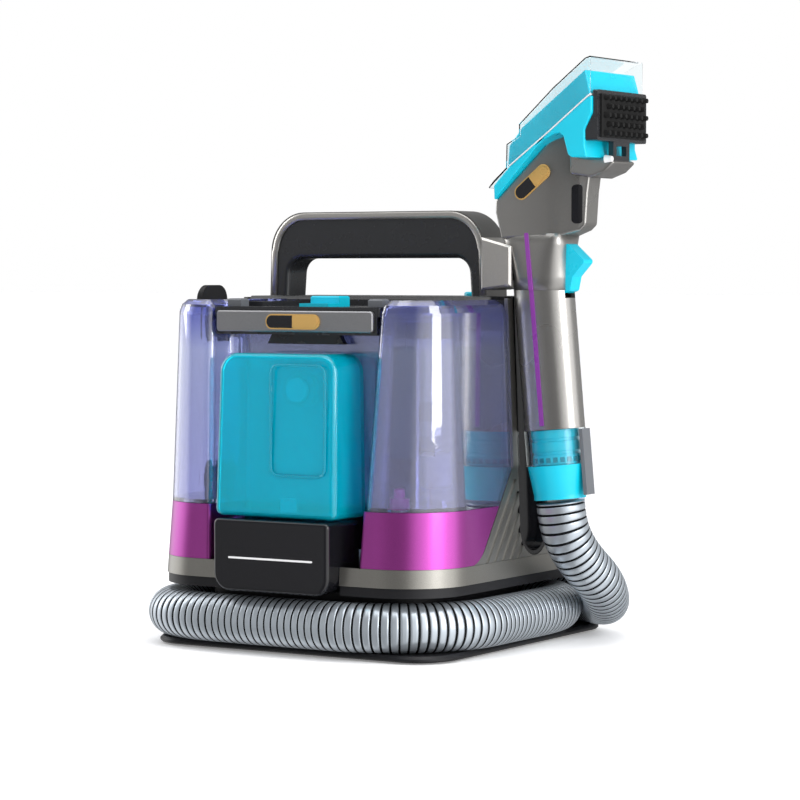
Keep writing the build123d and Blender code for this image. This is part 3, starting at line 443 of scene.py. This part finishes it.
def evenly(points, step):
    """Points and tangents at equal steps along a polyline, and its length."""
    length = sum((b - a).length for a, b in zip(points, points[1:]))
    count = max(2, round(length / step))
    stations, travelled, target = [], 0.0, 0.0
    for a, b in zip(points, points[1:]):
        run = (b - a).length
        while run > 0 and target <= travelled + run + 1e-9 and len(stations) <= count:
            stations.append(a.lerp(b, (target - travelled) / run))
            target += length / count
        travelled += run
    while len(stations) < count + 1:
        stations.append(points[-1].copy())
    ends = zip([stations[0]] + stations[:-1], stations[1:] + [stations[-1]])
    tangents = [(after - before).normalized() for before, after in ends]
    return stations, tangents, length


def carried_frames(tangents):
    """A side direction at each station, carried along without twisting."""
    side = tangents[0].orthogonal().normalized()
    sides = []
    for tangent in tangents:
        side = (side - tangent * side.dot(tangent)).normalized()
        sides.append(side.copy())
    return sides


def rib_radius(phase):
    """Radius within one rib: a broad rounded crest and a narrow groove."""
    rise = min(1.0, RIB_SHOULDER * (1 - abs(phase - 0.5) / 0.5))
    return HOSE_RADIUS - GROOVE_DEPTH * (1 - math.sin(rise * math.pi / 2))


def make_hose():
    line = spline_points("hose_line", HOSE_ROUTE)
    stations, tangents, length = evenly(line, RIB_PITCH / RIB_STEPS)
    sides = carried_frames(tangents)
    rings = []
    for i, (place, tangent, side) in enumerate(zip(stations, tangents, sides)):
        other = tangent.cross(side)
        radius = rib_radius((i % RIB_STEPS) / RIB_STEPS)
        ring = []
        for j in range(HOSE_SIDES):
            angle = 2 * math.pi * j / HOSE_SIDES
            ring.append(place + (side * math.cos(angle) + other * math.sin(angle)) * radius)
        rings.append(ring)
    hose = mesh_object("hose_corrugated", *capped_tube(rings))
    hose.data.materials.append(MATERIALS["hose_grey"])
    # Second material: near-black painted shade for the faces at the bottom of each groove
    hose.data.materials.append(MATERIALS["groove_painted_shade"])
    for polygon in hose.data.polygons:
        ring = polygon.index // HOSE_SIDES
        if ring % RIB_STEPS in (0, RIB_STEPS - 1):
            polygon.material_index = 1
    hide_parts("hose")
    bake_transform(hose)


# ---------------------------------------------------------------- moulded pieces
def soften(piece, width, segments=3):
    """Rounds the sharp edges, width in millimetres."""
    bevel = piece.modifiers.new("edges", "BEVEL")
    bevel.width = width * MM
    bevel.segments = segments
    bevel.limit_method = "ANGLE"
    bevel.angle_limit = math.radians(28)
    piece.modifiers.new("normals", "WEIGHTED_NORMAL")


def outward_faces(piece):
    """Turns every face outwards."""
    mesh = bmesh.new()
    mesh.from_mesh(piece.data)
    bmesh.ops.recalc_face_normals(mesh, faces=mesh.faces)
    mesh.to_mesh(piece.data)
    mesh.free()


def prism(name, lower, upper, body, slot, bevel):
    """Solid between two matching outlines."""
    count = len(lower)
    faces = [tuple(range(count)), tuple(range(2 * count - 1, count - 1, -1))]
    faces += [(i, i + count, (i + 1) % count + count, (i + 1) % count) for i in range(count)]
    piece = mesh_object(name, list(lower) + list(upper), faces, body, slot)
    outward_faces(piece)
    soften(piece, bevel)
    return piece


def slab(name, outline, half_at, body, slot, bevel, breaks=()):
    """Solid with a side outline (x, z) in millimetres, as wide each way as half_at(x) says.

    The sides are cut at the breaks, where half_at changes slope, so that they fold there.
    """
    sheet = bmesh.new()
    sheet.faces.new([sheet.verts.new(mm(x, 0, z)) for x, z in outline])
    for x in breaks:
        geometry = sheet.verts[:] + sheet.edges[:] + sheet.faces[:]
        bmesh.ops.bisect_plane(sheet, geom=geometry, plane_co=mm(x, 0, 0), plane_no=(1, 0, 0))
    near = set(sheet.verts)
    bmesh.ops.extrude_face_region(sheet, geom=sheet.faces[:], use_keep_orig=True)
    for vertex in sheet.verts:
        side = -1 if vertex in near else 1
        vertex.co.y = side * half_at(vertex.co.x / MM) * MM
    bmesh.ops.recalc_face_normals(sheet, faces=sheet.faces)
    piece = mesh_object(name, [], [], body, slot)
    sheet.to_mesh(piece.data)
    sheet.free()
    piece.data.shade_smooth()
    soften(piece, bevel)
    return piece


def raised(name, outline, centre, along, outward, rise, body, slot, bevel=0.3, sink=0.4):
    """Low plate with a flat outline (u, v) in millimetres, standing proud of a surface."""
    along, outward = Vector(along).normalized(), Vector(outward).normalized()
    up = outward.cross(along)
    flat = [centre + (along * u + up * v) * MM for u, v in outline]
    base = [p - outward * sink * MM for p in flat]
    top = [p + outward * rise * MM for p in flat]
    return prism(name, base, top, body, slot, bevel)


def pill_half(length, height, side, steps=10):
    """Left (-1) or right (1) half of a rounded bar, cut at its middle."""
    radius = height / 2
    straight = length / 2 - radius
    turns = [math.pi * (i / steps - 0.5) for i in range(steps + 1)]
    curve = [(side * (straight + radius * math.cos(a)), side * radius * math.sin(a)) for a in turns]
    return [(0, -side * radius)] + curve + [(0, side * radius)]


def rounded_rectangle(x0, x1, z0, z1, radius, steps=6):
    """Outline of a rectangle with rounded corners."""
    corners = [
        (x1 - radius, z0 + radius, -90), (x1 - radius, z1 - radius, 0),
        (x0 + radius, z1 - radius, 90), (x0 + radius, z0 + radius, 180),
    ]
    return [
        (x + radius * math.cos(math.radians(start + 90 * i / steps)),
         z + radius * math.sin(math.radians(start + 90 * i / steps)))
        for x, z, start in corners for i in range(steps + 1)
    ]


# Wand head, side outlines in millimetres (x, z)
HEAD_SEAM = [(197.5, 400.5), (193.9, 398.2), (159.4, 374.7), (124.2, 351.8)]
COVER_TOP = [
    (104.6, 336.6), (109.3, 341.4), (121, 350.7), (121.4, 367.5), (133, 373.2), (133, 381.6), (164, 406.5),
    (192.8, 426.2), (197.5, 427.4),
]
CHEEK_OUTLINE = [
    (109.8, 327.4), (109.3, 338), (124.2, 351.5), (159.4, 374.4), (193.9, 397.9), (198.6, 399.6),
    (198.6, 387.4), (192.4, 376), (192.4, 364.2), (194.5, 356.4), (180.5, 356.4), (177.5, 358.7),
    (173.5, 371.5), (170, 374), (165.5, 373.7), (159.4, 371.1), (152.8, 368.6),
]
CORE_OUTLINE = [
    (112, 340), (121.5, 349.8), (123, 366.4), (134.4, 379), (192.4, 418.4), (197, 400.6), (193, 396),
    (159, 372),
]
SHELL_OUTLINE = [
    (113.5, 299), (108.7, 318.5), (108.7, 327), (152.8, 369.4), (164, 375), (171, 371), (175, 359),
    (181, 346), (179, 332), (177.5, 309), (173, 305), (161, 301.5),
]
NOSE_OUTLINE = [
    (168, 362), (178, 357.6), (196, 357), (205, 353.5), (197, 346.5), (186, 342.5), (168, 345),
]
VENT_OUTLINE = rounded_rectangle(167.5, 175.5, 310, 338, 3)
# How far each piece stands out from the nozzle's nominal half width
COVER_PROUD, CHEEK_PROUD, SEAM_PROUD, CORE_PROUD = 1.3, 1.2, 1.6, -0.6
COVER_WALL = 1.2
SHELL_FOLDS = (150, 172)
SHELL_WIDE, SHELL_NARROW, NOSE_HALF = 20.0, 9.8, 17.5
# Neck between grip and head: left and right ends, half depth, squareness and height of each section
NECK_SECTIONS = [
    (115.6, 161.7, 19.2, 2.0, 262), (114.6, 161.2, 19.4, 2.2, 272), (113.0, 160.9, 19.6, 2.7, 284),
    (111.6, 160.9, 19.8, 3.6, 294), (110.6, 161.2, 19.9, 5.0, 303),
]
WAND_FOOT, WAND_LEAN = mm(152.4, 0, 110), Vector((-0.0906, 0, 0.9959)).normalized()
FORWARD = (0, -1, 0)


def head_half(x):
    """Half width of the nozzle, which fans out towards its mouth."""
    return min(20.5 + 0.195 * (x - 100), 39.6)


def shell_half(x):
    """Half width of the grey shell, which narrows to a spine above the trigger."""
    start, end = SHELL_FOLDS
    taper = min(1.0, max(0.0, (x - start) / (end - start)))
    return SHELL_WIDE + (SHELL_NARROW - SHELL_WIDE) * taper


def make_cover():
    """Thin clear cover over the nozzle's air passage: a stepped top and two side walls."""
    count = len(COVER_TOP)
    points = [mm(x, side * (head_half(x) + COVER_PROUD), z) for side in (-1, 1) for x, z in COVER_TOP]
    near = list(range(count))
    far = [i + count for i in near]
    for side, rim in ((-1, near), (1, far)):
        rim.extend(range(len(points), len(points) + len(HEAD_SEAM)))
        points += [mm(x, side * (head_half(x) + COVER_PROUD), z) for x, z in HEAD_SEAM]
    faces = [(i, i + 1, i + 1 + count, i + count) for i in range(count - 1)]
    faces += [tuple(near), tuple(reversed(far))]
    cover = mesh_object("head_cover_clear", points, faces, "wand", "clear")
    outward_faces(cover)
    wall = cover.modifiers.new("wall", "SOLIDIFY")
    wall.thickness = COVER_WALL * MM
    wall.offset = -1
    soften(cover, 0.5, 2)
    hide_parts("nozzle_cover")


def superellipse(cx, a, b, power, z, count=48):
    """Level ring round (cx, 0, z), from an ellipse at power 2 towards a rectangle."""
    ring = []
    for i in range(count):
        angle = 2 * math.pi * i / count
        c, s = math.cos(angle), math.sin(angle)
        x = cx + a * math.copysign(abs(c) ** (2 / power), c)
        ring.append(mm(x, b * math.copysign(abs(s) ** (2 / power), s), z))
    return ring


def make_head():
    cheeks = slab("head_cheeks", CHEEK_OUTLINE, lambda x: head_half(x) + CHEEK_PROUD, "wand", "cyan", 1.2)
    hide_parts("nozzle_body")
    slab("head_air_passage", CORE_OUTLINE, lambda x: head_half(x) + CORE_PROUD, "wand", "cyan", 1.6)
    shell = slab("head_shell", SHELL_OUTLINE, shell_half, "wand", "wand_grey", 2.2, SHELL_FOLDS)
    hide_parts("wand_head")
    slab("head_nose", NOSE_OUTLINE, lambda x: NOSE_HALF, "wand", "wand_grey", 2.5)
    seam = [(x, z + 0.5) for x, z in HEAD_SEAM] + [(x, z - 0.6) for x, z in reversed(HEAD_SEAM)]
    slab("head_seam", seam, lambda x: head_half(x) + SEAM_PROUD, "wand", "white", 0.2)
    slab("head_vent", VENT_OUTLINE, lambda x: shell_half(x) + 0.35, "wand", "gloss_black", 0.3, SHELL_FOLDS[1:])
    make_cover()
    rings = []
    for left, right, half, power, z in NECK_SECTIONS:
        rings.append(superellipse((left + right) / 2, (right - left) / 2, half, power, z))
    neck = mesh_object("head_neck", *capped_tube(rings), "wand", "wand_grey")
    outward_faces(neck)
    raised(
        "neck_stripe", rounded_rectangle(-21, 21, -1.7, 1.7, 0.8, 3), mm(136.6, -19.7, 282.5), -WAND_LEAN,
        FORWARD, 0.6, "wand", "purple", 0.3, 1.2,
    )


# Handle: the champagne edge that follows the arch, front and back, lightened by a painted highlight
ARCH_HALF, ARCH_TOP, ARCH_RADIUS, ARCH_FOOT = 94, 320.5, 30, 258
ARCH_SPREAD = (1.9, 1.0)    # the legs stand this much wider at their foot and where they start to curve
TRIM_PROFILE = [(0.4, -0.4), (0.9, 0.7), (3.2, 1.1), (5.4, 0.7), (6.0, -0.4)]
HANDLE_FRONT_Y, HANDLE_REAR_Y = -10, 20


def arch_path(inset, steps=14):
    """The arch's outer line, moved inwards by inset, from the left foot over to the right one."""
    centre_x, centre_z = ARCH_HALF - ARCH_RADIUS, ARCH_TOP - ARCH_RADIUS
    right = [(ARCH_HALF + ARCH_SPREAD[0] - inset, ARCH_FOOT), (ARCH_HALF + ARCH_SPREAD[1] - inset, centre_z)]
    reach = ARCH_RADIUS - inset
    for i in range(1, steps + 1):
        angle = math.radians(90 * i / steps)
        right.append((centre_x + reach * math.cos(angle), centre_z + reach * math.sin(angle)))
    return [(-x, z) for x, z in right] + list(reversed(right))


def make_handle_trim(name, face_y, outward):
    """Satin band on one face of the handle, slightly domed across its width, in the lighter champagne of a painted
    highlight.
    """
    tracks = [
        [mm(x, face_y + outward * rise, z) for x, z in arch_path(inset)] for inset, rise in TRIM_PROFILE
    ]
    trim = mesh_object(name, *capped_tube(list(zip(*tracks))), "root", "champagne")
    # Lighter champagne over the trim's own champagne: painted highlight
    trim.data.materials[0] = MATERIALS["champagne_painted_highlight"]
    outward_faces(trim)


def make_badges():
    """Two plain pill badges, each half dark and half gold inside a gold rim."""
    low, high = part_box("bar_badge")
    bar = Vector(((low[0] + high[0]) / 2, low[1], (low[2] + high[2]) / 2))
    wand = mm(140, -20.9, 340)
    for name, centre, along, body, length, height in (
        ("bar", bar, (1, 0, 0), "dirty_tank", 44.6, 9.0),
        ("wand", wand, (0.78, 0, 0.63), "wand", 32.2, 9.2),
    ):
        for part, side, trim, slot in (("dark", -1, 0, "gloss_black"), ("light", 1, 1.2, "badge_gold")):
            outline = pill_half(length - trim, height - trim, side)
            raised(name + "_badge_" + part, outline, centre, along, FORWARD, 0.35, body, slot, 0.15)


def make_block_rule():
    """The plain line across the front block."""
    low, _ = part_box("front_block")
    middle = Vector((0, low[1], 0.0703))
    outline = rounded_rectangle(-36.5, 35.8, -0.7, 0.7, 0.6, 3)
    raised("block_rule", outline, middle, (1, 0, 0), FORWARD, 0.3, "root", "white", 0.15)


WINDOW_LEFT, WINDOW_RIGHT, WINDOW_FOOT, WINDOW_TOP = -2.5, 48.7, 129.5, 209.7
WINDOW_RADIUS, WINDOW_RIM = 7, 1.5


def make_tank_window():
    """Raised rim of the embossed window on the formula tank's front, in opaque darker cyan as painted shade for its
    dark outline.
    """
    low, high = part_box("formula_tank")
    right = min(WINDOW_RIGHT, high[0] / MM - WINDOW_RADIUS)
    centre = mm((WINDOW_LEFT + right) / 2, low[1] / MM, (WINDOW_FOOT + WINDOW_TOP) / 2)
    half_x, half_z = (right - WINDOW_LEFT) / 2, (WINDOW_TOP - WINDOW_FOOT) / 2
    outer = rounded_rectangle(-half_x, half_x, -half_z, half_z, WINDOW_RADIUS)
    in_x, in_z = half_x - WINDOW_RIM, half_z - WINDOW_RIM
    inner = rounded_rectangle(-in_x, in_x, -in_z, in_z, WINDOW_RADIUS - WINDOW_RIM)
    rings = []
    for (ou, ov), (iu, iv) in zip(outer, inner):
        section = (
            (ou, 0.4, ov), (ou, -0.5, ov), ((ou + iu) / 2, -0.8, (ov + iv) / 2), (iu, -0.5, iv), (iu, 0.4, iv),
        )
        rings.append([centre + mm(*corner) for corner in section])
    rim = mesh_object("tank_window", *bridge_rings(rings, closed=True), "detergent_tank", "tank_cyan")
    # Darker cyan in place of the rim's clear tank plastic: painted shade
    rim.data.materials[0] = MATERIALS["cyan_painted_shade"]
    outward_faces(rim)


# Coupling, as (height up the wand, radius) from the wand's foot
SLEEVE_PROFILE = [
    (25.3, 15), (25.3, 17.6), (32.4, 17.6), (33, 16.8), (34.6, 16.8), (35.2, 17.6), (42, 17.6),
    (42.6, 16.8), (44.2, 16.8), (44.8, 17.6), (50.6, 17.6), (50.6, 15),
]
SLEEVE_SIDES = 56
COUPLING_WINDOWS = 22
WINDOW_CORNERS = ((-1.6, 27), (1.6, 27), (1.6, 30.6), (-1.6, 30.6))
BLOCK_FACES = ((0, 3, 2, 1), (4, 5, 6, 7), (0, 1, 5, 4), (1, 2, 6, 5), (2, 3, 7, 6), (3, 0, 4, 7))


def wand_spokes(count):
    """Pairs of outward and sideways directions, evenly round the wand's axis."""
    side = Vector((WAND_LEAN.z, 0, -WAND_LEAN.x))
    other = WAND_LEAN.cross(side)
    angles = [2 * math.pi * i / count for i in range(count)]
    return [
        (side * math.cos(a) + other * math.sin(a), other * math.cos(a) - side * math.sin(a)) for a in angles
    ]


def make_coupling():
    """Cyan sleeve seen inside the clear coupling, with two grooves and a row of small windows in darker cyan,
    painted shade for the openings.
    """
    rings = []
    for spoke, _ in wand_spokes(SLEEVE_SIDES):
        rings.append([WAND_FOOT + (WAND_LEAN * rise + spoke * radius) * MM for rise, radius in SLEEVE_PROFILE])
    sleeve = mesh_object("coupling_sleeve", *bridge_rings(rings, closed=True), "wand", "cyan")
    points, faces = [], []
    for spoke, across in wand_spokes(COUPLING_WINDOWS):
        faces += [tuple(len(points) + corner for corner in face) for face in BLOCK_FACES]
        for radius in (17.3, 17.85):
            for u, rise in WINDOW_CORNERS:
                points.append(WAND_FOOT + (spoke * radius + across * u + WAND_LEAN * rise) * MM)
    windows = mesh_object("coupling_windows", points, faces, "wand", "cyan")
    # The windows get the darker cyan: painted shade in the openings
    windows.data.materials[0] = MATERIALS["cyan_painted_shade"]
    for piece in (sleeve, windows):
        outward_faces(piece)
        soften(piece, 0.2, 2)


SPRING_TURNS, SPRING_STEPS, WIRE_SIDES = 4, 16, 6
SPRING_RADIUS, WIRE_RADIUS = 1.7, 0.28
SPRING_FRONT, SPRING_BACK, SPRING_Z = -65.4, -62.4, 250


def make_latch_springs():
    """Two small coil springs behind the lid latch."""
    backwards = Vector((0, 1, 0))
    count = SPRING_TURNS * SPRING_STEPS
    around = [2 * math.pi * j / WIRE_SIDES for j in range(WIRE_SIDES)]
    points, faces = [], []
    for centre_x in (-6, 6):
        rings = []
        for i in range(count + 1):
            angle = 2 * math.pi * i / SPRING_STEPS
            y = SPRING_FRONT + (SPRING_BACK - SPRING_FRONT) * i / count
            out = Vector((math.cos(angle), 0, math.sin(angle)))
            middle = Vector((centre_x, y, SPRING_Z)) + out * SPRING_RADIUS
            rings.append([
                (middle + (out * math.cos(a) + backwards * math.sin(a)) * WIRE_RADIUS) * MM for a in around
            ])
        coil_points, coil_faces = capped_tube(rings)
        faces += [tuple(index + len(points) for index in face) for face in coil_faces]
        points += coil_points
    springs = mesh_object("latch_springs", points, faces, "dirty_tank", "steel")
    outward_faces(springs)
    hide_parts("latch_spring")
    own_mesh(springs)


make_camera()
make_stage()
dress_nodes()
make_hose()
make_head()
make_handle_trim("handle_trim_front", HANDLE_FRONT_Y, -1)
make_handle_trim("handle_trim_rear", HANDLE_REAR_Y, 1)
make_badges()
make_block_rule()
make_tank_window()
make_coupling()
make_latch_springs()
